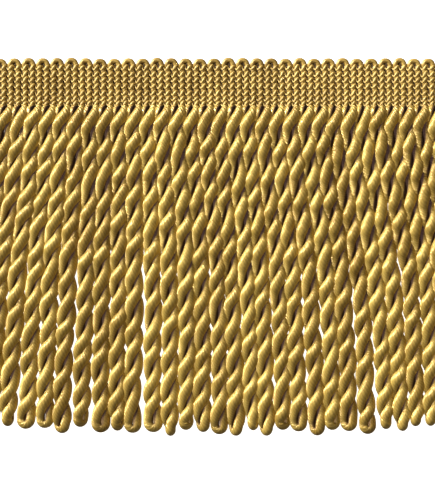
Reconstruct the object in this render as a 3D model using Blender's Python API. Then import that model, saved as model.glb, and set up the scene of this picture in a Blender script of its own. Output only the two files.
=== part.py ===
"""Bullion fringe trim: a cut length of corded curtain and upholstery edging, lying on its back.

A narrow crochet-knit heading with a scalloped top edge carries a row of thick two-ply twisted
cords. Each cord is one bundle of satin yarn that leaves the heading, is folded at its lower end
and twists back round itself, so every cord ends in a small loop.

Frame: X runs along the trim, Y points from the cords to the scalloped edge and Z out of the face.
The trim lies on the plane z = 0, and the origin is the bottom centre of its bounding box.
"""

from collections import namedtuple
import math

import bmesh
import bpy
from mathutils import Vector
import numpy as np

MM = 0.001

# Heading: each weft makes two ribs and one scallop. A cord hangs between two scallops, from the
# right rib of the one before it and the left rib of the one after it.
PITCH = 3.885 * MM
RIB_PITCH = PITCH / 2
COLUMNS_TO_A_SCALLOP = 4
HEADING_HEIGHT = 13.0 * MM
SCALLOP_RISE = 1.7 * MM
SCALLOP_NOTCH = 0.12
RIB_CREST = 2.1 * MM
RIB_VALLEY = 1.7 * MM
SCALLOP_RIM = 1.5 * MM

# The lowest row of stitches is the strip that the cords grow out of.
STRIP_HEIGHT = 1.4 * MM
STRIP_GAP = 0.3 * MM

# Cords: a two-ply twist has the outline of a flat bar that turns along its length. As wide as
# both plies side by side, it is as thick as keeps their real area, and turns by a sixth at a time.
CORD_WIDTH = 4.4 * MM
CORD_THICKNESS = 0.4 * CORD_WIDTH
CORD_CLEARANCE = 0.3 * MM
STEPS_TO_A_HALF_TURN = 3
STEP_TURN = math.pi / STEPS_TO_A_HALF_TURN

# The root leaves the strip flat, and the cord swells from it to its full size.
ROOT_WIDTH = 3.2 * MM
ROOT_LOW = 0.25 * MM
ROOT_HIGH = 1.55 * MM
ROOT_SWELL = 5.0 * MM
ROOT_SIZE = 0.6

# The twist ends this far above a cord's tip, and its loop closes round below that. down: how far
# down that depth a section lies. width and thickness: its shares of the loop's and the cord's own.
LOOP_DEPTH = 5.4 * MM
Closing = namedtuple("Closing", "down width thickness")
LOOP_CLOSING = (
    Closing(0.45, 1.00, 1.25),
    Closing(0.80, 0.86, 1.20),
    Closing(1.00, 0.45, 0.90),
)

# The cords are thicker than their pitch in the heading, so they fan out on their way down.
# One row for each cord, left to right. middle and tip: how far they stand to the right of its
# root, in mm. drop: how far the tip lies below the heading, in mm. half_way and twist: its half
# turns down to the middle and to the loop, and a whole number shows the loop face on. loop: how
# wide the loop is, in cord widths.
Cord = namedtuple("Cord", "middle tip drop half_way twist loop")
CORDS = (
    Cord(-5.8, -9.5, 88.2, 6.0, 12.4, 0.90),
    Cord(-5.4, -9.0, 87.2, 5.8, 12.0, 1.05),
    Cord(-5.0, -8.4, 88.3, 6.0, 12.4, 0.85),
    Cord(-4.3, -7.6, 86.7, 6.3, 12.5, 0.80),
    Cord(-3.6, -6.4, 87.4, 6.0, 12.0, 1.15),
    Cord(-3.3, -5.1, 87.2, 6.1, 12.1, 1.05),
    Cord(-2.6, -4.7, 88.6, 6.0, 12.3, 0.85),
    Cord(-1.5, -3.3, 86.9, 5.5, 11.7, 0.90),
    Cord(-1.2, -1.6, 88.4, 5.8, 12.0, 1.20),
    Cord(-0.5, -1.1, 87.9, 6.1, 12.5, 0.75),
    Cord(-0.2, -0.9, 88.5, 6.2, 12.1, 1.10),
    Cord(0.9, 0.8, 88.3, 6.0, 12.0, 1.20),
    Cord(1.6, 1.6, 89.3, 6.1, 12.4, 0.80),
    Cord(2.2, 2.3, 87.7, 5.7, 11.7, 0.80),
    Cord(2.5, 2.7, 88.3, 6.0, 12.3, 0.85),
    Cord(2.9, 3.6, 88.9, 6.2, 12.1, 1.05),
    Cord(2.8, 4.1, 89.3, 6.1, 12.4, 0.80),
    Cord(3.1, 4.7, 87.8, 5.5, 11.7, 0.80),
    Cord(3.1, 4.6, 89.3, 6.1, 12.4, 0.80),
    Cord(3.7, 5.2, 87.7, 5.7, 11.8, 0.80),
    Cord(3.7, 5.6, 88.1, 5.9, 12.1, 1.05),
    Cord(4.3, 6.7, 89.2, 6.1, 12.4, 0.80),
    Cord(5.1, 7.0, 87.7, 5.7, 11.8, 0.80),
    Cord(5.4, 7.5, 88.0, 6.1, 12.3, 0.85),
    Cord(6.3, 8.5, 88.8, 5.6, 11.9, 1.00),
    Cord(6.6, 10.1, 87.5, 6.0, 12.5, 0.80),
    Cord(7.1, 10.2, 88.0, 5.5, 12.5, 0.80),
    Cord(8.0, 10.1, 86.7, 6.1, 12.5, 0.80),
    Cord(8.7, 10.4, 86.6, 5.9, 12.4, 0.85),
    Cord(9.0, 10.9, 88.1, 6.1, 12.1, 1.05),
    Cord(9.4, 11.4, 87.3, 5.7, 11.8, 0.85),
    Cord(9.9, 12.0, 88.4, 6.0, 12.4, 0.85),
    Cord(10.4, 12.7, 87.5, 6.1, 12.0, 1.05),
)

GOLD_SATIN = (0.46, 0.29, 0.07, 1.0)
GOLD_KNIT = (0.40, 0.25, 0.07, 1.0)
SATIN_ROUGHNESS = 0.38
KNIT_ROUGHNESS = 0.55


def clear_scene():
    for old in list(bpy.data.objects):
        bpy.data.objects.remove(old, do_unlink=True)


def yarn_material(name, colour, roughness):
    material = bpy.data.materials.new(name)
    material.use_nodes = True
    shader = material.node_tree.nodes["Principled BSDF"]
    shader.inputs["Base Color"].default_value = colour
    shader.inputs["Roughness"].default_value = roughness
    shader.inputs["Metallic"].default_value = 0.0
    return material


def add_object(name, bm, material):
    bmesh.ops.recalc_face_normals(bm, faces=bm.faces)
    mesh = bpy.data.meshes.new(name)
    bm.to_mesh(mesh)
    bm.free()
    mesh.materials.append(material)
    obj = bpy.data.objects.new(name, mesh)
    bpy.context.scene.collection.objects.link(obj)
    return obj


def add_ring(bm, points):
    return [bm.verts.new(point) for point in points]


def root_x(index):
    """Where a cord leaves the heading."""
    return (index - (len(CORDS) - 1) / 2) * PITCH


def sway(share, middle, tip):
    """How far a cord has gone to the right, straight down at first and then by way of its middle."""
    slope = tip / 2
    if share < 0.5:
        u = 2 * share
        return (3 * middle - slope + (slope - 2 * middle) * u) * u * u
    u = 2 * share - 1
    bend = slope + middle - tip
    return middle + slope * u - bend * (3 - u) * u * u / 2


def axis_x(index, below):
    """A cord's axis at a distance below the heading. Past either end of the row the fan goes on."""
    inside = min(max(index, 0), len(CORDS) - 1)
    cord = CORDS[inside]
    share = min(below / (cord.drop * MM), 1.0)
    beyond = (index - inside) * CORD_WIDTH
    return root_x(inside) + sway(share, cord.middle, cord.tip) * MM + beyond


def room(index, below):
    """How wide a cord can be at this height and still stand clear of its neighbours."""
    here = axis_x(index, below)
    nearest = min(here - axis_x(index - 1, below), axis_x(index + 1, below) - here)
    return nearest - CORD_CLEARANCE


def half_turns(cord, share):
    """How far a cord has turned at a share of its twisted length."""
    return 4 * cord.half_way * share * (1 - share) + cord.twist * share * (2 * share - 1)


def turned_stations(cord):
    """The share of the twisted length and the half turns at each section; the last is the loop's."""
    shares = np.linspace(0, 1, 401)
    turned = [half_turns(cord, share) for share in shares]
    whole_steps = int(cord.twist * STEPS_TO_A_HALF_TURN - 0.5)
    turns = [step / STEPS_TO_A_HALF_TURN for step in range(1, whole_steps + 1)]
    turns.append(cord.twist)
    return [(float(np.interp(turn, turned, shares)), turn) for turn in turns]


def bar_section(x, y, height, width, thickness, turn):
    """The four corners of a cord's section, turned about its axis."""
    corners = ((-0.5, -0.5), (0.5, -0.5), (0.5, 0.5), (-0.5, 0.5))
    points = []
    for across, up in corners:
        u, v = across * width, up * thickness
        turned_x = u * math.cos(turn) - v * math.sin(turn)
        turned_z = u * math.sin(turn) + v * math.cos(turn)
        points.append(Vector((x + turned_x, y, height + turned_z)))
    return points


def reach_down(width, thickness, turn):
    """How far a turned bar reaches below its axis."""
    return (abs(math.sin(turn)) * width + abs(math.cos(turn)) * thickness) / 2


def cord_sections(index):
    """Every section of one cord below its root, the last few closing its loop.

    The axis keeps the height at which the lowest corners of the twist rest on the surface.
    """
    cord = CORDS[index]
    twisted_length = cord.drop * MM - LOOP_DEPTH
    sections = []
    for share, half_turn in turned_stations(cord):
        below = share * twisted_length
        swell = ROOT_SIZE + (1 - ROOT_SIZE) * min(below / ROOT_SWELL, 1.0)
        width = min(CORD_WIDTH, room(index, below)) * swell
        thickness = CORD_THICKNESS * width / CORD_WIDTH
        turn = half_turn * math.pi
        lowest_corner = reach_down(width, thickness, STEP_TURN)
        height = max(lowest_corner, reach_down(width, thickness, turn))
        x = axis_x(index, below)
        sections.append(bar_section(x, -below, height, width, thickness, turn))
    for closing in LOOP_CLOSING:
        below = twisted_length + closing.down * LOOP_DEPTH
        width = min(cord.loop * CORD_WIDTH, room(index, below)) * closing.width
        x = axis_x(index, below)
        size = width, thickness * closing.thickness
        raised = max(height, reach_down(*size, turn))
        sections.append(bar_section(x, -below, raised, *size, turn))
    return sections


def bridge_turned(bm, upper, lower):
    """Joins two sections with triangles whose diagonals follow the twist."""
    for corner in range(4):
        following = (corner + 1) % 4
        bm.faces.new((upper[corner], upper[following], lower[corner]))
        bm.faces.new((upper[following], lower[following], lower[corner]))


def face_columns():
    """x and height of the ribbed face from one cut end to the other: valley, crest, valley."""
    left = root_x(0) - PITCH
    columns = []
    for column in range(COLUMNS_TO_A_SCALLOP * (len(CORDS) + 1) + 1):
        height = RIB_CREST if column % 2 else RIB_VALLEY
        columns.append((left + column * RIB_PITCH / 2, height))
    return columns


def scallop_top(column):
    """The heading's upper edge: a row of round scallops with a notch between two."""
    across = 2 * (column % COLUMNS_TO_A_SCALLOP) / COLUMNS_TO_A_SCALLOP - 1
    rise = math.sqrt(1 - across * across)
    lowest = HEADING_HEIGHT - SCALLOP_RISE
    return lowest + SCALLOP_RISE * (SCALLOP_NOTCH + (1 - SCALLOP_NOTCH) * rise)


def heading_mesh():
    """The ribbed band above the strip, made of upright sections joined from end to end."""
    bm = bmesh.new()
    foot = STRIP_HEIGHT + STRIP_GAP
    shoulder = HEADING_HEIGHT - 1.5 * SCALLOP_RISE
    sections = []
    for column, (x, height) in enumerate(face_columns()):
        top = scallop_top(column)
        profile = ((foot, 0.0), (top, 0.0), (top, SCALLOP_RIM), (shoulder, height), (foot, height))
        sections.append(add_ring(bm, [Vector((x, y, z)) for y, z in profile]))
    for left, right in zip(sections, sections[1:]):
        for point in range(len(left)):
            following = (point + 1) % len(left)
            bm.faces.new((left[point], left[following], right[following], right[point]))
    bm.faces.new(sections[0])
    bm.faces.new(sections[-1])
    return bm


def strip_cells(columns):
    """The first and last column under each cord, and of the bare half pitch at either end."""
    half_pitch = COLUMNS_TO_A_SCALLOP // 2
    edges = [0, *range(half_pitch, columns, COLUMNS_TO_A_SCALLOP), columns - 1]
    return list(zip(edges, edges[1:]))


def add_strip(bm):
    """The narrow strip, with an opening in its lower wall for each cord; returns their corners."""
    columns = face_columns()
    cells = strip_cells(len(columns))
    edges = [columns[first][0] for first, _ in cells] + [columns[-1][0]]
    face_low = add_ring(bm, [Vector((x, 0.0, z)) for x, z in columns])
    face_high = add_ring(bm, [Vector((x, STRIP_HEIGHT, z)) for x, z in columns])
    back_low = add_ring(bm, [Vector((x, 0.0, 0.0)) for x in edges])
    back_high = add_ring(bm, [Vector((x, STRIP_HEIGHT, 0.0)) for x in edges])
    for near in range(len(columns) - 1):
        far = near + 1
        bm.faces.new((face_low[near], face_low[far], face_high[far], face_high[near]))
    half = ROOT_WIDTH / 2
    corners = ((-half, ROOT_LOW), (half, ROOT_LOW), (half, ROOT_HIGH), (-half, ROOT_HIGH))
    roots = []
    for cell, (first, last) in enumerate(cells):
        low_edge = face_low[first : last + 1]
        high_edge = face_high[first : last + 1]
        left, right = back_low[cell], back_low[cell + 1]
        bm.faces.new((left, back_high[cell], back_high[cell + 1], right))
        bm.faces.new([back_high[cell], *high_edge, back_high[cell + 1]])
        if cell in (0, len(cells) - 1):
            bm.faces.new([left, right, *reversed(low_edge)])
            continue
        middle = root_x(cell - 1)
        root = add_ring(bm, [Vector((middle + x, 0.0, z)) for x, z in corners])
        bm.faces.new((left, right, root[1], root[0]))
        bm.faces.new((left, root[0], root[3], low_edge[0]))
        bm.faces.new((right, low_edge[-1], root[2], root[1]))
        bm.faces.new([root[3], root[2], *reversed(low_edge)])
        roots.append(root)
    bm.faces.new((back_low[0], back_high[0], face_high[0], face_low[0]))
    bm.faces.new((back_low[-1], back_high[-1], face_high[-1], face_low[-1]))
    return roots


def fringe_mesh():
    """The strip and all its cords as one closed body."""
    bm = bmesh.new()
    for index, upper in enumerate(add_strip(bm)):
        for points in cord_sections(index):
            lower = add_ring(bm, points)
            bridge_turned(bm, upper, lower)
            upper = lower
        bm.faces.new(upper)
    return bm


def centre_on_floor(objects):
    """Moves the origin to the bottom centre of the whole trim's bounding box."""
    points = [vertex.co for obj in objects for vertex in obj.data.vertices]
    low = Vector([min(point[axis] for point in points) for axis in range(3)])
    high = Vector([max(point[axis] for point in points) for axis in range(3)])
    middle = Vector(((low.x + high.x) / 2, (low.y + high.y) / 2, low.z))
    for obj in objects:
        for vertex in obj.data.vertices:
            vertex.co -= middle
        obj.data.update()


def main():
    clear_scene()
    knit = yarn_material("heading_knit", GOLD_KNIT, KNIT_ROUGHNESS)
    satin = yarn_material("cord_satin", GOLD_SATIN, SATIN_ROUGHNESS)
    heading = add_object("heading", heading_mesh(), knit)
    fringe = add_object("fringe", fringe_mesh(), satin)
    centre_on_floor([heading, fringe])


main()
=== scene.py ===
# %% [markdown]
# # A cut length of bullion fringe
#
# Bullion fringe is the heavy corded edging of curtains, cushions and sofas. This one is gold satin
# yarn: a narrow crochet-knit heading with a scalloped edge, and a row of thick cords that hang
# from it. Every cord is one bundle of yarn that comes out of the heading, is folded at its lower
# end and twists back round itself, so it ends in a small loop.
#
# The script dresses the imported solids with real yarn. It uses the same sizes and the same table of
# cords as the solids do, so each piece lies where its solid lies, but for the small wander of
# soft yarn.

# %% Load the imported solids
from collections import namedtuple
import math

import bpy
import numpy as np
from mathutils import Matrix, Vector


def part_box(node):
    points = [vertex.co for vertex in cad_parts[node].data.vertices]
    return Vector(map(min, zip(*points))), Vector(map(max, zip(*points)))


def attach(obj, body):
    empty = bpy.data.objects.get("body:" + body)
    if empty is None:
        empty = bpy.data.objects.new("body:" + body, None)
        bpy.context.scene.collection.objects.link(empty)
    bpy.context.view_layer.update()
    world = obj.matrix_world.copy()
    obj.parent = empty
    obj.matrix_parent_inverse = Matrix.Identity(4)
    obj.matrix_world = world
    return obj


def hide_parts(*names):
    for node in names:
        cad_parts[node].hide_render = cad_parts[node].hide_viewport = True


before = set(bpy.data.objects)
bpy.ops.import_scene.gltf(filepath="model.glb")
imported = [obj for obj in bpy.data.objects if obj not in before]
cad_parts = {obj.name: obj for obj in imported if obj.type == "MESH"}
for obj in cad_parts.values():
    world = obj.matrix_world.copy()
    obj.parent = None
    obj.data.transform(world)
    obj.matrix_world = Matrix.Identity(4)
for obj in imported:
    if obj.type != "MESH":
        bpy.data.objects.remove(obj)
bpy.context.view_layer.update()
MM = 0.001

# %% [markdown]
# ## The sizes of the real trim
#
# One weft of yarn makes two ribs of the heading and the scallop that joins them at the top. Between
# two scallops hangs a cord: its right half comes down from the left rib of one scallop, its left
# half from the right rib of the scallop before. So scallops, ribs and cords all keep one pitch, and
# a few named numbers place everything.

# %% Sizes of the heading and the cords
PITCH = 3.885 * MM
RIB_PITCH = PITCH / 2
SCALLOPS = 34
HEADING_HEIGHT = 13.0 * MM
STRIP_HEIGHT = 1.4 * MM
CORD_WIDTH = 4.4 * MM

heading_low, heading_high = (np.array(corner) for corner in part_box("heading"))
fringe_high = np.array(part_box("fringe")[1])
MIDDLE_X = float(heading_low[0] + heading_high[0]) / 2
EDGE_Y = float(fringe_high[1]) - STRIP_HEIGHT
print(f"middle of the row at x {MIDDLE_X / MM:.3f} mm, heading's lower edge at y {EDGE_Y / MM:.3f} mm")

# %% [markdown]
# The cords are thicker than their pitch, so they fan out on their way down, and no two lie quite
# alike. The table is the one that the solids were built from. middle and tip say how far a cord
# stands to the right of its root, and drop how far its tip lies below the heading, all in mm.
# half_way and twist are its half turns down to the middle and to the loop, and a whole number
# shows the loop face on. loop is how wide the loop is, in cord widths.

# %% The table of cords
Cord = namedtuple("Cord", "middle tip drop half_way twist loop")
CORDS = (
    Cord(-5.8, -9.5, 88.2, 6.0, 12.4, 0.90),
    Cord(-5.4, -9.0, 87.2, 5.8, 12.0, 1.05),
    Cord(-5.0, -8.4, 88.3, 6.0, 12.4, 0.85),
    Cord(-4.3, -7.6, 86.7, 6.3, 12.5, 0.80),
    Cord(-3.6, -6.4, 87.4, 6.0, 12.0, 1.15),
    Cord(-3.3, -5.1, 87.2, 6.1, 12.1, 1.05),
    Cord(-2.6, -4.7, 88.6, 6.0, 12.3, 0.85),
    Cord(-1.5, -3.3, 86.9, 5.5, 11.7, 0.90),
    Cord(-1.2, -1.6, 88.4, 5.8, 12.0, 1.20),
    Cord(-0.5, -1.1, 87.9, 6.1, 12.5, 0.75),
    Cord(-0.2, -0.9, 88.5, 6.2, 12.1, 1.10),
    Cord(0.9, 0.8, 88.3, 6.0, 12.0, 1.20),
    Cord(1.6, 1.6, 89.3, 6.1, 12.4, 0.80),
    Cord(2.2, 2.3, 87.7, 5.7, 11.7, 0.80),
    Cord(2.5, 2.7, 88.3, 6.0, 12.3, 0.85),
    Cord(2.9, 3.6, 88.9, 6.2, 12.1, 1.05),
    Cord(2.8, 4.1, 89.3, 6.1, 12.4, 0.80),
    Cord(3.1, 4.7, 87.8, 5.5, 11.7, 0.80),
    Cord(3.1, 4.6, 89.3, 6.1, 12.4, 0.80),
    Cord(3.7, 5.2, 87.7, 5.7, 11.8, 0.80),
    Cord(3.7, 5.6, 88.1, 5.9, 12.1, 1.05),
    Cord(4.3, 6.7, 89.2, 6.1, 12.4, 0.80),
    Cord(5.1, 7.0, 87.7, 5.7, 11.8, 0.80),
    Cord(5.4, 7.5, 88.0, 6.1, 12.3, 0.85),
    Cord(6.3, 8.5, 88.8, 5.6, 11.9, 1.00),
    Cord(6.6, 10.1, 87.5, 6.0, 12.5, 0.80),
    Cord(7.1, 10.2, 88.0, 5.5, 12.5, 0.80),
    Cord(8.0, 10.1, 86.7, 6.1, 12.5, 0.80),
    Cord(8.7, 10.4, 86.6, 5.9, 12.4, 0.85),
    Cord(9.0, 10.9, 88.1, 6.1, 12.1, 1.05),
    Cord(9.4, 11.4, 87.3, 5.7, 11.8, 0.85),
    Cord(9.9, 12.0, 88.4, 6.0, 12.4, 0.85),
    Cord(10.4, 12.7, 87.5, 6.1, 12.0, 1.05),
)
print(len(CORDS), "cords, the longest", max(cord.drop for cord in CORDS), "mm")

# %% [markdown]
# ## Camera, table and light
#
# The trim is pictured from straight above, as it lies on a white table. A long lens keeps the view
# nearly parallel. The table glows a little, as a light table does, so that the gaps between the
# cords stay white. Satin shows a bright crest on the shoulder of every twist that faces the light.
# A rim lamp that grazes the trim from the upper left draws those crests, and casts no shadow, so
# that one cord doesn't hide the next from it. A key lamp higher up on the same side casts the
# soft shadows in the grooves, and a wide fill lamp and the pale room lift the rest. The table is
# a hair lower than the trim's back, so that the two never share a plane.

# %% Camera, table and light
VIEW_MIDDLE = (-2.92 * MM, -0.02 * MM, 2.2 * MM)
VIEW_HEIGHT = 134.5 * MM
LENS_MM = 135.0
SENSOR_MM = 36.0

scene = bpy.context.scene
camera_data = bpy.data.cameras.new("camera")
camera_data.sensor_fit = "VERTICAL"
camera_data.sensor_height = SENSOR_MM
camera_data.lens = LENS_MM
camera_data.clip_start = 0.01
camera = bpy.data.objects.new("camera", camera_data)
distance = VIEW_HEIGHT * LENS_MM / SENSOR_MM
camera.location = (VIEW_MIDDLE[0], VIEW_MIDDLE[1], VIEW_MIDDLE[2] + distance)
scene.collection.objects.link(camera)
scene.camera = camera
scene.view_settings.view_transform = "Standard"


def add_sun(name, direction_to_it, strength, width_degrees, colour, casts_shadow=True):
    """A far lamp. The direction points from the trim to the lamp."""
    data = bpy.data.lights.new(name, "SUN")
    data.energy = strength
    data.angle = math.radians(width_degrees)
    data.color = colour
    data.use_shadow = casts_shadow
    lamp = bpy.data.objects.new(name, data)
    x, y, z = direction_to_it
    lamp.rotation_euler = (math.atan2(math.hypot(x, y), z), 0.0, math.atan2(x, -y))
    scene.collection.objects.link(lamp)


add_sun("rim_lamp", (-0.80, 0.50, 0.15), 8.5, 10.0, (0.98, 0.94, 0.86), casts_shadow=False)
add_sun("key_lamp", (-0.60, 0.60, 0.50), 4.0, 8.0, (0.98, 0.94, 0.86))
add_sun("fill_lamp", (0.2, 0.2, 1.0), 0.45, 60.0, (1.0, 0.84, 0.62))

world = bpy.data.worlds.new("pale_room")
world.use_nodes = True
world.node_tree.nodes["Background"].inputs["Color"].default_value = (1.0, 0.91, 0.78, 1.0)
world.node_tree.nodes["Background"].inputs["Strength"].default_value = 0.2
scene.world = world

table_material = bpy.data.materials.new("light_table")
table_material.use_nodes = True
table_shader = table_material.node_tree.nodes["Principled BSDF"]
table_shader.inputs["Base Color"].default_value = (0.9, 0.9, 0.9, 1.0)
table_shader.inputs["Roughness"].default_value = 0.9
table_shader.inputs["Emission Color"].default_value = (1.0, 1.0, 1.0, 1.0)
table_shader.inputs["Emission Strength"].default_value = 0.8

TABLE_HALF = 3.0
TABLE_Z = -0.02 * MM
table_mesh = bpy.data.meshes.new("table")
table_mesh.from_pydata(
    [(x * TABLE_HALF, y * TABLE_HALF, TABLE_Z) for x, y in ((-1, -1), (1, -1), (1, 1), (-1, 1))],
    [],
    [(0, 1, 2, 3)],
)
table_mesh.materials.append(table_material)
table = bpy.data.objects.new("table", table_mesh)
table.visible_diffuse = False
table.visible_glossy = False
scene.collection.objects.link(table)
print(f"camera {distance:.3f} m above the trim")

# %% [markdown]
# ## Writing nodes as sums
#
# Both the finishes and the yarn sweeps are made of nodes. A small class wraps a socket, so that
# a sum such as 1 - mask adds the Math nodes by itself, and one method makes every other node.

# %% A socket that can be used in sums
class Wire:
    """A node's output. Sums on it add Math nodes to its tree."""

    def __init__(self, tree, socket):
        self.tree = tree
        self.socket = socket

    def maths(self, operation, *values):
        sockets = dict(enumerate(values))
        return self.tree.make("ShaderNodeMath", {"operation": operation}, sockets)

    def __add__(self, other):
        return self.maths("ADD", self, other)

    def __radd__(self, other):
        return self.maths("ADD", other, self)

    def __sub__(self, other):
        return self.maths("SUBTRACT", self, other)

    def __rsub__(self, other):
        return self.maths("SUBTRACT", other, self)

    def __mul__(self, other):
        return self.maths("MULTIPLY", self, other)

    def __rmul__(self, other):
        return self.maths("MULTIPLY", other, self)

    def __pow__(self, other):
        return self.maths("POWER", self, other)


class Tree:
    """A node tree that is written in Python expressions."""

    def __init__(self, tree):
        self.tree = tree

    def make(self, kind, settings=None, sockets=None, output=0):
        """A new node of any kind, its settings first and then its sockets; gives one output."""
        node = self.tree.nodes.new(kind)
        for name, value in (settings or {}).items():
            setattr(node, name, value)
        for key, value in (sockets or {}).items():
            self.plug(value, node.inputs[key])
        return Wire(self, node.outputs[output])

    def plug(self, value, slot):
        if isinstance(value, Wire):
            self.tree.links.new(value.socket, slot)
        else:
            slot.default_value = value

    def vector(self, operation, first, second):
        return self.make("ShaderNodeVectorMath", {"operation": operation}, {0: first, 1: second})

    def scaled(self, vector, factor):
        settings = {"operation": "SCALE"}
        return self.make("ShaderNodeVectorMath", settings, {"Vector": vector, "Scale": factor})

    def mix(self, share, first, second):
        sockets = {0: share, 6: first, 7: second}
        return self.make("ShaderNodeMix", {"data_type": "RGBA"}, sockets, 2)


print("helpers ready")

# %% [markdown]
# ## Satin yarn
#
# The yarn is a bundle of shiny filaments that are laid round it on a slant. The finish reads the
# numbers that every piece of yarn carries: how far along it a point lies, and how far round. Fine
# slanting lines of those two make the filaments. They lift the surface a little in a Bump, and
# they tint it with painted shade between two filaments and a painted highlight on their tops. The
# side that faces the middle of a cord, against its twin, gets painted shade: it is painted darker
# and redder, and the deepest part of the groove near black. A third number says how strong that
# painted shade is and how far the Bump lifts, and a fourth, tone, makes one length of yarn a
# little paler than the next.

# %% The satin finish
YARN_ROUND = 7.4 * MM
CREASE_FROM = 0.22
CREASE_TO = 0.60
SHADE_FADE = 0.70
MATT_CREASE = 0.7
LAY_CLOUD = 300.0
UNEVEN_LAY = 0.05
PATCH_CLOUD = 160.0


def satin(
    name,
    crease_shade,
    shade,
    body,
    light,
    filaments,
    slant,
    lift,
    roughness,
    metallic,
    shaded_side,
    shaded_from,
):
    """A satin finish. filaments: how many go round. slant: how steeply they wind round it."""
    material = bpy.data.materials.new(name)
    material.use_nodes = True
    nodes = Tree(material.node_tree)
    shader = material.node_tree.nodes["Principled BSDF"]

    def attribute(word):
        return nodes.make("ShaderNodeAttribute", {"attribute_name": word}, None, "Fac")

    def wave(value):
        return nodes.make("ShaderNodeMath", {"operation": "SINE"}, {0: value * math.tau})

    def cloud(scale, detail):
        place = nodes.make("ShaderNodeTexCoord", None, None, "Object")
        return nodes.make("ShaderNodeTexNoise", None, {"Vector": place, "Scale": scale, "Detail": detail})

    along, around, shade_and_lift, tone = (attribute(word) for word in ("along", "around", "shade_and_lift", "tone"))
    uneven = (cloud(LAY_CLOUD, 1.0) - 0.5) * UNEVEN_LAY
    path = around + along * (slant / YARN_ROUND) + uneven
    broad = wave(path * filaments) * 0.5 + 0.5
    fine = wave(path * (filaments * 3.0 + 1.0) + uneven * 9.0) * 0.5 + 0.5
    relief = broad * 0.65 + fine * 0.35
    patch = cloud(PATCH_CLOUD, 3.0)
    # Painted shade: the side that faces inward is painted darker and redder, and the deepest part of the
    # groove near black, standing for the shade between the two halves of a cord.
    facing_in = nodes.make("ShaderNodeMath", {"operation": "COSINE"}, {0: around * math.tau})
    shaded = {0: facing_in, 1: shaded_from, 2: shaded_from + SHADE_FADE}
    side_shade_mask = nodes.make("ShaderNodeMapRange", None, shaded)
    crease_shade_mask = nodes.make("ShaderNodeMapRange", None, {0: facing_in, 1: CREASE_FROM, 2: CREASE_TO})
    # Painted shade and painted highlight: the relief tints the yarn dark between filaments and pale on
    # their tops; the cloud and the tone add a random tone.
    lightness = relief * 0.55 + (patch - 0.5) * 1.1 + tone * 0.16 + 0.20
    colour = nodes.mix(lightness, body, light)
    colour = nodes.mix(side_shade_mask * shade_and_lift * shaded_side, colour, shade)
    colour = nodes.mix(crease_shade_mask * shade_and_lift, colour, crease_shade)
    nodes.plug(colour, shader.inputs["Base Color"])
    dull = crease_shade_mask * shade_and_lift * MATT_CREASE
    nodes.plug(roughness + dull + (1 - relief) * 0.12 + (patch - 0.5) * 0.15, shader.inputs["Roughness"])
    sockets = {"Height": relief + patch * 0.5, "Distance": shade_and_lift * lift, "Strength": 1.0}
    bump = nodes.make("ShaderNodeBump", None, sockets)
    nodes.plug(bump, shader.inputs["Normal"])
    shader.inputs["Metallic"].default_value = metallic
    shader.inputs["Specular IOR Level"].default_value = 0.7
    return material


# The groove and shade colours are painted shade: near black deep in the groove between the two halves of a
# cord, dark red-brown on the side that faces the other half.
cord_satin = satin(
    "twisted_satin",
    crease_shade=(0.024, 0.004, 0.001, 1.0),
    shade=(0.130, 0.042, 0.003, 1.0),
    body=(0.21, 0.126, 0.017, 1.0),
    light=(0.48, 0.345, 0.080, 1.0),
    filaments=6,
    slant=1.9,
    lift=0.15 * MM,
    roughness=0.30,
    metallic=0.35,
    shaded_side=0.85,
    shaded_from=0.05,
)
# For wefts and stitches the painted shade reaches round all but the top of the yarn: a painted dark outline
# round each rib and stitch.
weft_satin = satin(
    "weft_satin",
    crease_shade=(0.020, 0.006, 0.001, 1.0),
    shade=(0.060, 0.022, 0.003, 1.0),
    body=(0.20, 0.120, 0.017, 1.0),
    light=(0.46, 0.31, 0.065, 1.0),
    filaments=5,
    slant=0.7,
    lift=0.05 * MM,
    roughness=0.40,
    metallic=0.2,
    shaded_side=0.9,
    shaded_from=-0.75,
)
stitch_satin = satin(
    "stitch_satin",
    crease_shade=(0.020, 0.006, 0.001, 1.0),
    shade=(0.080, 0.030, 0.004, 1.0),
    body=(0.26, 0.165, 0.030, 1.0),
    light=(0.60, 0.44, 0.13, 1.0),
    filaments=3,
    slant=1.0,
    lift=0.03 * MM,
    roughness=0.50,
    metallic=0.1,
    shaded_side=0.9,
    shaded_from=-0.60,
)
print("finishes:", cord_satin.name, weft_satin.name, stitch_satin.name)

# %% [markdown]
# ## Sweeping yarn along its course
#
# Yarn is the same all along, whatever its course, so one Geometry Nodes tree makes all of it. It
# is given a bare line whose points say where the middle of the yarn is, which way is out, which is
# sideways, and how far the yarn reaches in each of them. The tree sweeps a circle along the line
# and then puts every point of the skin where those numbers say. The two halves of a cord press
# each other flat on the inside in this way, and stay round on the outside.

# %% The sweep as a node tree
def named_socket(group, name, kind, in_out="INPUT"):
    return group.interface.new_socket(name, in_out=in_out, socket_type="NodeSocket" + kind)


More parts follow.
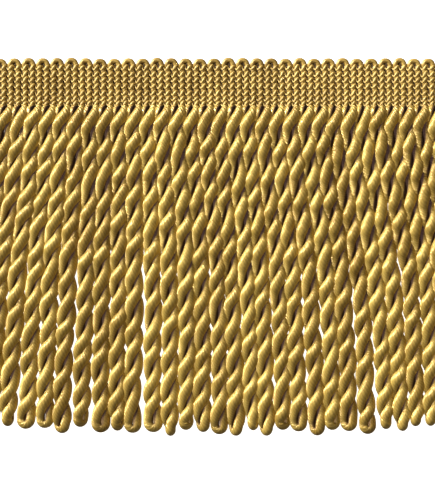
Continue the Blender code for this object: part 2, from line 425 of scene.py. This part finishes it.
def yarn_sweep():
    group = bpy.data.node_groups.new("yarn_sweep", "GeometryNodeTree")
    named_socket(group, "Line", "Geometry")
    named_socket(group, "Sides", "Int")
    named_socket(group, "Inner shape", "Float")
    named_socket(group, "Outer shape", "Float")
    named_socket(group, "Finish", "Material")
    named_socket(group, "Yarn", "Geometry", "OUTPUT")
    nodes = Tree(group)
    given = group.nodes.new("NodeGroupInput")
    line, sides, inner, outer, finish = (Wire(nodes, socket) for socket in given.outputs[:5])

    def number(word):
        return nodes.make("GeometryNodeInputNamedAttribute", {"data_type": "FLOAT"}, {"Name": word})

    def direction(word):
        settings = {"data_type": "FLOAT_VECTOR"}
        return nodes.make("GeometryNodeInputNamedAttribute", settings, {"Name": word})

    def function(operation, value):
        return nodes.make("ShaderNodeMath", {"operation": operation}, {0: value})

    course = nodes.make("GeometryNodeMeshToCurve", None, {"Mesh": line})
    circle = nodes.make("GeometryNodeCurvePrimitiveCircle", None, {"Resolution": sides})
    share = nodes.make("GeometryNodeSplineParameter", None, None, "Factor")
    settings = {"data_type": "FLOAT", "domain": "POINT"}
    stored = {"Geometry": circle, "Name": "around", "Value": share}
    profile = nodes.make("GeometryNodeStoreNamedAttribute", settings, stored)
    sockets = {"Curve": course, "Profile Curve": profile, "Fill Caps": True}
    skin = nodes.make("GeometryNodeCurveToMesh", None, sockets)

    angle = number("around") * math.tau
    outwards = 0 - function("COSINE", angle)
    sideways = 0 - function("SINE", angle)
    on_outer_side = outwards.maths("MAXIMUM", outwards, 0.0)
    on_inner_side = outwards.maths("MAXIMUM", 0 - outwards, 0.0)
    outer_side = (on_outer_side**outer) * number("reach_out")
    inner_side = (on_inner_side**inner) * number("reach_in")
    radial = outer_side - inner_side
    tangential = sideways * number("half_wide")
    place = nodes.vector("ADD", direction("middle"), nodes.scaled(direction("out"), radial))
    place = nodes.vector("ADD", place, nodes.scaled(direction("side"), tangential))
    shaped = nodes.make("GeometryNodeSetPosition", None, {"Geometry": skin, "Position": place})
    smooth = nodes.make("GeometryNodeSetShadeSmooth", None, {"Geometry": shaped})
    real = nodes.make("GeometryNodeRealizeInstances", None, {"Geometry": smooth})
    dressed = nodes.make("GeometryNodeSetMaterial", None, {"Geometry": real, "Material": finish})
    result = group.nodes.new("NodeGroupOutput")
    nodes.plug(dressed, result.inputs[0])
    return group


YARN_SWEEP = yarn_sweep()
print("sweep tree of", len(YARN_SWEEP.nodes), "nodes")

# %% [markdown]
# A course is a table of points with those numbers. Several courses can go into one piece. The
# modifier's inputs are set first, then its result is kept as a plain mesh.

# %% From courses to a piece of yarn
NUMBERS = ("reach_out", "reach_in", "half_wide", "along", "shade_and_lift", "tone")
DIRECTIONS = ("middle", "out", "side")


def unit(vectors):
    return vectors / np.linalg.norm(vectors, axis=1, keepdims=True)


def course_of(points, out, reach_out, reach_in, half_wide, tone, shade_and_lift=1.0):
    """Completes a course: squares its outward directions to the line and measures along it."""
    ahead = unit(np.gradient(points, axis=0))
    out = unit(out - ahead * (out * ahead).sum(axis=1, keepdims=True))
    steps = np.linalg.norm(np.diff(points, axis=0), axis=1)
    count = len(points)
    return {
        "middle": points,
        "out": out,
        "side": np.cross(ahead, out),
        "reach_out": np.broadcast_to(reach_out, count),
        "reach_in": np.broadcast_to(reach_in, count),
        "half_wide": np.broadcast_to(half_wide, count),
        "along": np.concatenate([[0.0], np.cumsum(steps)]),
        "shade_and_lift": np.broadcast_to(shade_and_lift, count),
        "tone": np.full(count, tone),
    }


def yarn_piece(name, courses, sides, inner_shape, outer_shape, finish):
    """Sweeps the courses into one mesh object at the origin."""
    points = np.concatenate([course["middle"] for course in courses])
    edges, first = [], 0
    for course in courses:
        last = first + len(course["middle"])
        edges += [(point, point + 1) for point in range(first, last - 1)]
        first = last
    line = bpy.data.meshes.new(name + "_line")
    line.from_pydata(points.tolist(), edges, [])
    for word in NUMBERS:
        values = np.concatenate([course[word] for course in courses])
        line.attributes.new(word, "FLOAT", "POINT").data.foreach_set("value", values.astype(np.float32))
    for word in DIRECTIONS:
        values = np.concatenate([course[word] for course in courses])
        attribute = line.attributes.new(word, "FLOAT_VECTOR", "POINT")
        attribute.data.foreach_set("vector", values.astype(np.float32).ravel())
    carrier = bpy.data.objects.new(name + "_carrier", line)
    scene.collection.objects.link(carrier)
    modifier = carrier.modifiers.new("sweep", "NODES")
    modifier.node_group = YARN_SWEEP
    inputs = {"Sides": sides, "Inner shape": inner_shape, "Outer shape": outer_shape, "Finish": finish}
    for item in YARN_SWEEP.interface.items_tree:
        if item.name in inputs:
            modifier[item.identifier] = inputs[item.name]
    evaluated = carrier.evaluated_get(bpy.context.evaluated_depsgraph_get())
    mesh = bpy.data.meshes.new_from_object(evaluated)
    for word in (*DIRECTIONS, "reach_out", "reach_in", "half_wide"):
        mesh.attributes.remove(mesh.attributes[word])
    mesh.name = name
    piece = bpy.data.objects.new(name, mesh)
    scene.collection.objects.link(piece)
    bpy.data.objects.remove(carrier)
    return piece


def triangles(piece):
    return sum(len(face.vertices) - 2 for face in piece.data.polygons)


print("a course carries", len(NUMBERS) + len(DIRECTIONS), "values at each point")

# %% [markdown]
# ## Where a cord goes
#
# A cord leaves the heading straight down and sways to its place in the skirt. Its two halves
# circle its axis, one half turn about every 7 mm. The rules are those of the solids. On top of
# them each cord gets a small seeded wander, since soft cords never lie quite straight. The halves
# cross quickly and lie side by side a little longer, as yarn under strain does. The row is
# shingled like roof slates: the left edge of each cord lies over the right edge of the one before.

# %% Rules of one cord
SEED = 41
ROOT_HIDDEN = 1.3 * MM
RIB_HEIGHT = 0.95 * MM
RISE_LENGTH = 1.9 * MM
FULL_WIDTH = 5.20 * MM
PRESSED = 1.2 * MM
STACKED = 0.9 * MM
CLEAR_OF_TABLE = 0.05 * MM
LEAN = -0.5 * MM
LEAN_AT = 6.0 * MM
LEAN_LENGTH = 4.5 * MM
LEAN_START = 3 * MM
CROWDED_TO = 36.0 * MM
CROWDED_FADE = 22.0 * MM


def ease(value):
    """0 up to the start of a change, 1 from its end, and smooth between."""
    value = np.clip(value, 0.0, 1.0)
    return value * value * (3 - 2 * value)


def root_x(index):
    return (index - (len(CORDS) - 1) / 2) * PITCH


def sway(share, middle, tip):
    """The solids' rule: straight down at first and then by way of the cord's middle."""
    slope = tip / 2
    upper, lower = 2 * share, 2 * share - 1
    bend = slope + middle - tip
    above = (3 * middle - slope + (slope - 2 * middle) * upper) * upper * upper
    below = middle + slope * lower - bend * (3 - lower) * lower * lower / 2
    return np.where(share < 0.5, above, below)


def axis_x(index, below):
    inside = min(max(index, 0), len(CORDS) - 1)
    cord = CORDS[inside]
    share = np.clip(below / (cord.drop * MM), 0.0, 1.0)
    beyond = (index - inside) * CORD_WIDTH
    return root_x(inside) + sway(share, cord.middle, cord.tip) * MM + beyond


def width_at(index, below):
    """How wide the cord is: its full width, or less where its neighbours press it."""
    here = axis_x(index, below)
    nearest = np.minimum(here - axis_x(index - 1, below), axis_x(index + 1, below) - here)
    return np.minimum(FULL_WIDTH, nearest + PRESSED)


def half_turns(cord, share):
    return 4 * cord.half_way * share * (1 - share) + cord.twist * share * (2 * share - 1)


def wander(rng, below, size, waves):
    """A slow seeded wave along the cord, nothing at the root."""
    total = np.zeros_like(below)
    for wave in waves:
        total += np.sin(math.tau * (below / wave + rng.random()))
    return total * size / len(waves) * ease(below / (8 * MM))


print("half turns of cord 9 at its middle:", half_turns(CORDS[8], 0.5))

# %% [markdown]
# The course of a cord's yarn starts at the hidden end of its left half, follows it down, turns
# round in the loop and comes back up as the right half. Towards the loop the twist dies away, and
# the halves part to the width of the loop.

# %% The course of one cord's yarn
RING = 0.62 * MM
LOOP_YARN = 2.80 * MM
LEAST_LOOP = 0.95 * MM
TWIST_FADE = 0.6 * MM
EYE_DEPTH = 3.3 * MM
EYE_SHADE_AND_LIFT = 0.55
LOOP_RINGS = 12
ROOT_GROWTH = 1.2 * MM
REACH_OUT = 0.25
REACH_IN = 0.255
HALF_WIDE = 0.305
BACK_SPREAD = 0.13
SHINGLED = 0.40 * MM
QUICK_CROSSING = 0.16
INNER_SHAPE = 0.68
OUTER_SHAPE = 1.2
CORD_SIDES = 24
WIDTH_WANDER = 0.04
SIDE_WANDER = 0.24 * MM
TWIST_WANDER = 0.14
LIFT_WANDER = 0.30 * MM
OPENING_LENGTH = 1.2 * MM
EYE_CLOSED = 0.99
ROOT_REACH = 0.70 * MM
SUNK_SMALLER = 0.6
SUNK_LOWER = 0.45 * MM
STACK_FADE = 0.6


def cord_course(index):
    cord = CORDS[index]
    rng = np.random.default_rng(SEED + index)
    drop = cord.drop * MM
    twisted = drop - EYE_DEPTH
    loop_half = max((cord.loop * CORD_WIDTH - LOOP_YARN) / 2, LEAST_LOOP)
    leg_end = drop - LOOP_YARN / 2 - loop_half
    side_shade_mask = np.linspace(-ROOT_HIDDEN, 0.0, 4)[:-1]
    below = np.concatenate([side_shade_mask, np.linspace(0.0, leg_end, int(leg_end / RING))])
    free = np.maximum(below, 0.0)

    width = width_at(index, free) * (1 + wander(rng, free, WIDTH_WANDER, (23 * MM, 9 * MM)))
    grown = ease(free / ROOT_GROWTH)
    lean = LEAN * np.exp(-(((free - LEAN_AT) / LEAN_LENGTH) ** 2)) * ease(free / LEAN_START)
    x = axis_x(index, free) + lean + wander(rng, free, SIDE_WANDER, (31 * MM, 17 * MM))

    short = twisted - TWIST_FADE * np.log1p(np.exp((twisted - free) / TWIST_FADE))
    turned = half_turns(cord, np.maximum(short, 0.0) / twisted)
    turned = turned + wander(rng, free, TWIST_WANDER, (29 * MM, 13 * MM))
    angle = math.pi * turned - QUICK_CROSSING * np.sin(2 * math.pi * turned)
    across = np.stack([np.cos(angle), 0 * angle, np.sin(angle)], axis=1)

    opening = ease((free - twisted + OPENING_LENGTH) / (leg_end - twisted + OPENING_LENGTH))
    offset = RIB_PITCH / 2 + (width / 4 - RIB_PITCH / 2) * grown
    offset = offset + (loop_half - offset) * opening

    def settled(leg, at_loop):
        return leg + (at_loop - leg) * opening

    sunk = ease(-below / ROOT_HIDDEN)
    rib = ROOT_REACH * (1 - SUNK_SMALLER * sunk)
    rib_half = RIB_PITCH / 2 * (1 - SUNK_SMALLER * sunk)
    crowded = 1 - ease((free - CROWDED_TO) / CROWDED_FADE)
    behind = np.sin(angle) * crowded * BACK_SPREAD
    reach_out = settled(rib + (width * REACH_OUT - rib) * grown, LOOP_YARN / 2)
    reach_in_eye = min(LOOP_YARN / 2, EYE_CLOSED * loop_half)
    reach_in = settled(rib + (width * REACH_IN - rib) * grown, reach_in_eye)
    half_left = width * (HALF_WIDE + np.maximum(behind, 0))
    half_right = width * (HALF_WIDE + np.maximum(-behind, 0))
    half_left = settled(rib_half + (half_left - rib_half) * grown, LOOP_YARN / 2)
    half_right = settled(rib_half + (half_right - rib_half) * grown, LOOP_YARN / 2)

    upright, level = np.abs(np.sin(angle)), np.abs(np.cos(angle))
    half_most = np.maximum(half_left, half_right)
    reach_down = offset * upright + np.hypot(reach_out * upright, half_most * level)
    height = RIB_HEIGHT - SUNK_LOWER * sunk + (width / 2 - RIB_HEIGHT) * ease(free / RISE_LENGTH)
    height = np.maximum(height, reach_down + SHINGLED * level * grown) + CLEAR_OF_TABLE * grown
    height += np.abs(wander(rng, free, LIFT_WANDER, (37 * MM, 19 * MM)))
    height += rng.random() * STACKED * ease(free / RISE_LENGTH) * ease((drop - free) / (STACK_FADE * drop))
    axis = np.stack([x, -below, height], axis=1)

    ahead = unit(np.gradient(axis, axis=0))[-1]
    turn = np.linspace(math.pi, 0.0, LOOP_RINGS + 2)[1:-1, None]
    radius = np.cos(turn) * across[-1] + np.sin(turn) * ahead
    left = axis - across * offset[:, None]
    right = axis + across * offset[:, None]
    tilt = SHINGLED * np.cos(angle) * grown * (1 - opening)
    left[:, 2] += tilt
    right[:, 2] -= tilt
    loop = axis[-1] + loop_half * radius
    points = np.concatenate([left, loop, right[::-1]])
    out = np.concatenate([-across, radius, across[::-1]])

    def all_along(left_leg, right_leg):
        return np.concatenate([left_leg, np.full(LOOP_RINGS, left_leg[-1]), right_leg[::-1]])

    reach_out = all_along(reach_out, reach_out)
    reach_in = all_along(reach_in, reach_in)
    half_wide = all_along(half_left, half_right)
    # Painted shade and Bump at full strength along the twisted legs, weaker in the loop's eye.
    shade_and_lift = all_along(settled(1.0, EYE_SHADE_AND_LIFT), settled(1.0, EYE_SHADE_AND_LIFT))
    points = points + np.array([MIDDLE_X, EDGE_Y, 0.0])
    return course_of(points, out, reach_out, reach_in, half_wide, rng.uniform(-1, 1), shade_and_lift)


for index in range(len(CORDS)):
    name = f"bullion_cord_{index + 1:02d}"
    piece = yarn_piece(name, [cord_course(index)], CORD_SIDES, INNER_SHAPE, OUTER_SHAPE, cord_satin)
    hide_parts("fringe")
    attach(piece, "root")

# %% [markdown]
# ## The heading
#
# The wefts run up one rib, over the scallop and down the next. Rows of chain stitches cross them
# and pinch each rib, so between two rows the rib swells like a bead. The rows aren't quite evenly
# spaced, because the knitter's tension changes, so their heights are a short list.

# %% The wefts with their scallops
ROWS = tuple(height * MM for height in (0.98, 2.28, 3.86, 5.73, 7.42, 8.99, 10.76))
SHOULDER = 11.2 * MM
SCALLOP_HALF = 1.24 * MM
SCALLOP_YARN = 1.38 * MM
SCALLOP_RISE = 0.50 * MM
WEFT_HEIGHT = 1.05 * MM
WEFT_STEP = 0.32 * MM
PINCH = 0.22
RIB_HALF = 0.70 * MM
PINCH_LENGTH = 0.42 * MM
WEFT_START = 0.1 * MM
WEFT_REACH_OUT = 0.72 * MM
WEFT_REACH_IN = 0.70 * MM
WEFT_SIDES = 14
ARCH_SHAPE = 0.85
ARCH_FADE = 0.8 * MM
ROUND = 1.0


def weft_course(index):
    rng = np.random.default_rng(SEED + 100 + index)
    middle = (index - (SCALLOPS - 1) / 2) * PITCH
    up = np.linspace(WEFT_START, SHOULDER, int(SHOULDER / WEFT_STEP))
    top = HEADING_HEIGHT + SCALLOP_RISE * rng.uniform(0.5, 1.1) - SCALLOP_YARN / 2
    turn = np.linspace(math.pi, 0.0, 15)[1:-1]
    half = RIB_PITCH / 2 + (SCALLOP_HALF - RIB_PITCH / 2) * ease((up - ROWS[-1]) / (SHOULDER - ROWS[-1]))
    arch_x = SCALLOP_HALF * np.sign(np.cos(turn)) * np.abs(np.cos(turn)) ** ARCH_SHAPE
    arch_y = SHOULDER + (top - SHOULDER) * np.sin(turn) ** ARCH_SHAPE
    x = np.concatenate([-half, arch_x, half[::-1]])
    y = np.concatenate([up, arch_y, up[::-1]])
    nearest = np.min(np.abs(y[:, None] - np.array(ROWS)[None, :]), axis=1)
    pinch = 1 - PINCH * np.exp(-((nearest / PINCH_LENGTH) ** 2))
    z = np.full(len(x), WEFT_HEIGHT) + rng.uniform(-0.05, 0.05) * MM
    points = np.stack([MIDDLE_X + middle + x, EDGE_Y + y, z], axis=1)
    out = np.tile([0.0, 0.0, 1.0], (len(x), 1))
    in_arch = ease((y - ROWS[-1]) / ARCH_FADE)
    half_wide = (RIB_HALF + (SCALLOP_YARN / 2 - RIB_HALF) * in_arch) * pinch
    reach_out = WEFT_REACH_OUT * pinch
    return course_of(points, out, reach_out, WEFT_REACH_IN, half_wide, rng.uniform(-1, 1))


weft_courses = [weft_course(index) for index in range(SCALLOPS)]
wefts = yarn_piece("heading_wefts", weft_courses, WEFT_SIDES, ROUND, ROUND, weft_satin)
print("wefts:", triangles(wefts), "triangles")

# %% [markdown]
# A row of chain stitches is one thread. It climbs over each rib on a slant and dives down between
# two ribs, so from the front a row is a line of short slanting stitches with dark holes between.
# One wave in each direction draws that thread.

# %% The chain stitches
STITCH_SWING = 0.64 * MM
STITCH_BACK = 0.10 * MM
STITCH_LIFT = 0.62 * MM
STITCH_MIDDLE = 1.42 * MM
STITCH_POINTS = 14
STITCH_THICK = 0.28 * MM
STITCH_SIDES = 8


def stitch_course(row, height):
    rng = np.random.default_rng(SEED + 200 + row)
    ribs = 2 * SCALLOPS
    turn = np.linspace(0.0, math.tau * ribs, STITCH_POINTS * ribs + 1)
    start = -SCALLOPS * PITCH / 2
    rib = np.clip((turn / math.tau).astype(int), 0, ribs - 1)
    swing = STITCH_SWING * (1 + rng.uniform(-0.30, 0.25, ribs))[rib]
    lift = STITCH_LIFT * (1 + rng.uniform(-0.16, 0.16, ribs))[rib]
    x = start + RIB_PITCH * turn / math.tau - STITCH_BACK * np.sin(turn)
    y = height - swing * np.sin(turn)
    z = STITCH_MIDDLE - lift * np.cos(turn)
    points = np.stack([MIDDLE_X + x, EDGE_Y + y, z], axis=1)
    out = np.tile([0.0, 0.0, 1.0], (len(x), 1))
    on_top = 0.5 - 0.5 * np.cos(turn)
    half_wide = STITCH_THICK * (0.75 + 0.50 * on_top)
    reach = STITCH_THICK * (0.75 + 0.20 * on_top)
    return course_of(points, out, reach, reach, half_wide, rng.uniform(-1, 1))


stitch_courses = [stitch_course(row, height) for row, height in enumerate(ROWS)]
stitches = yarn_piece("heading_stitches", stitch_courses, STITCH_SIDES, ROUND, ROUND, stitch_satin)
print("stitches:", triangles(stitches), "triangles")

# %% [markdown]
# Behind ribs and stitches lies a thin dark sheet, a painted shade that stands for the shade in the
# holes between the ribs. It goes on a little below the heading's edge, behind the roots of the
# cords, where the cords are bound in.

# %% The ground of the knit
SHADE_SHEET_THICK = 0.35 * MM
SHADE_SHEET_TOP = 11.9 * MM
SHADE_SHEET_SCALLOP = 0.7 * MM
SHADE_SHEET_BOTTOM = -1.3 * MM
SHADE_SHEET_COLUMNS = SCALLOPS * 8
SHADE_SHEET_ROWS = 24
SHADE_SHEET_RIPPLE = 0.12 * MM
KNIT_LOOP_HIGH = 0.8 * MM
KNIT_LOOP_WIDE = 0.97 * MM


def shade_sheet_piece():
    """A thin closed sheet whose face follows the ribs."""
    half_length = SCALLOPS * PITCH / 2
    across = np.linspace(-half_length, half_length, SHADE_SHEET_COLUMNS + 1)
    up = np.linspace(0.0, 1.0, SHADE_SHEET_ROWS + 1)
    vertices = []
    for z_base in (0.0, SHADE_SHEET_THICK):
        for share in up:
            for x in across:
                rise = SHADE_SHEET_SCALLOP * (0.5 - 0.5 * math.cos(math.tau * x / PITCH)) * share**6
                y = SHADE_SHEET_BOTTOM + (SHADE_SHEET_TOP - SHADE_SHEET_BOTTOM) * share + rise
                ripple = SHADE_SHEET_RIPPLE * math.cos(math.tau * x / RIB_PITCH) if z_base else 0.0
                vertices.append((MIDDLE_X + x, EDGE_Y + y, z_base - ripple))
    wide, layer = SHADE_SHEET_COLUMNS + 1, (SHADE_SHEET_COLUMNS + 1) * (SHADE_SHEET_ROWS + 1)
    faces = []
    for row in range(SHADE_SHEET_ROWS):
        for column in range(SHADE_SHEET_COLUMNS):
            a = row * wide + column
            b, c, d = a + 1, a + wide + 1, a + wide
            faces.append((a, d, c, b))
            faces.append((a + layer, b + layer, c + layer, d + layer))
    rim = [row * wide for row in range(SHADE_SHEET_ROWS)]
    faces += [(a, a + layer, a + wide + layer, a + wide) for a in rim]
    faces += [(a + wide - 1, a + 2 * wide - 1, a + 2 * wide - 1 + layer, a + wide - 1 + layer) for a in rim]
    last = SHADE_SHEET_ROWS * wide
    faces += [(a, a + 1, a + 1 + layer, a + layer) for a in range(SHADE_SHEET_COLUMNS)]
    top = range(last, last + SHADE_SHEET_COLUMNS)
    faces += [(a, a + layer, a + 1 + layer, a + 1) for a in top]
    mesh = bpy.data.meshes.new("heading_shade_sheet")
    mesh.from_pydata(vertices, [], faces)
    mesh.materials.append(shade_sheet_knit)
    piece = bpy.data.objects.new("heading_shade_sheet", mesh)
    scene.collection.objects.link(piece)
    return piece


def shade_sheet_finish():
    """A dark sheet of painted shade for the holes between the ribs: small knit loops from two crossing
    waves.
    """
    material = bpy.data.materials.new("shade_sheet_knit")
    material.use_nodes = True
    nodes = Tree(material.node_tree)
    shader = material.node_tree.nodes["Principled BSDF"]
    place = nodes.make("ShaderNodeTexCoord", None, None, "Object")
    split = {"Vector": place}
    x = nodes.make("ShaderNodeSeparateXYZ", None, split, 0)
    y = nodes.make("ShaderNodeSeparateXYZ", None, split, 1)
    up = nodes.make("ShaderNodeMath", {"operation": "SINE"}, {0: y * (math.tau / KNIT_LOOP_HIGH)})
    across = nodes.make("ShaderNodeMath", {"operation": "SINE"}, {0: x * (math.tau / KNIT_LOOP_WIDE) + up})
    loops = (up * across) * 0.5 + 0.5
    # Painted shade: the whole sheet is dark, the knit loops a little less dark than between them.
    colour = nodes.mix(loops, (0.030, 0.012, 0.002, 1.0), (0.14, 0.080, 0.014, 1.0))
    nodes.plug(colour, shader.inputs["Base Color"])
    nodes.plug(0.75 - loops * 0.15, shader.inputs["Roughness"])
    bump = nodes.make("ShaderNodeBump", None, {"Height": loops, "Distance": 0.1 * MM})
    nodes.plug(bump, shader.inputs["Normal"])
    return material


shade_sheet_knit = shade_sheet_finish()
shade_sheet = shade_sheet_piece()
for piece in (shade_sheet, wefts, stitches):
    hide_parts("heading")
    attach(piece, "root")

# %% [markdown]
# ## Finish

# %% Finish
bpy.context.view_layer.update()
